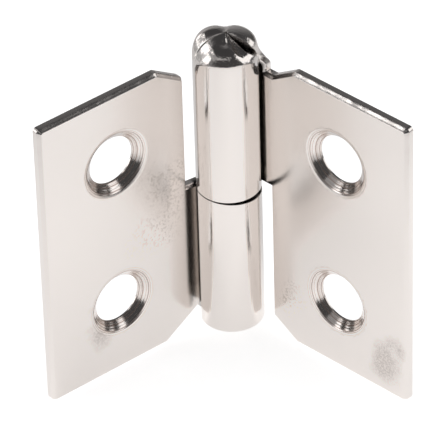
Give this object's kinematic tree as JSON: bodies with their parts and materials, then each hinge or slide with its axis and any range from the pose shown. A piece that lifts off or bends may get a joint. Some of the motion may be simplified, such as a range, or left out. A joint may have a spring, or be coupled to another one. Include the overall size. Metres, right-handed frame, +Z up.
{
  "type": "barrel hinge",
  "caption": "Lift-off barrel hinge of nickel-plated sheet steel, with rolled knuckles on a hidden pin, a crimped domed end and countersunk screw holes in both leaves.",
  "frame": {"origin": "on the fixed leaf's back face, midway between its two screw holes", "axes": "+Y out of the fixed leaf's back face, into what it is screwed to; +Z up along the pin, the way the other leaf lifts off; +X from the fixed leaf towards the pin"},
  "size_m": [0.0327, 0.0282, 0.0437],
  "materials": {
    "nickel_plate": "bright nickel plate on steel sheet, semi-gloss leaves and polished knuckles",
    "pin_steel": "plain drawn steel rod"
  },
  "bodies": {
    "fixed": {"fixed_leaf": "nickel_plate"},
    "pin": {"hinge_pin": "pin_steel"},
    "lift_off": {"lift_off_leaf": "nickel_plate"}
  },
  "joints": [
    {"name": "swing", "type": "hinge", "parent": "fixed", "child": "pin", "pos_m": [0.01435, -0.00389, 0], "axis": [0, 0, 1], "range_deg": [-99, 171]},
    {"name": "lift", "type": "slide", "parent": "pin", "child": "lift_off", "axis": [0, 0, 1], "range_m": [0, 0.0205]}
  ]
}
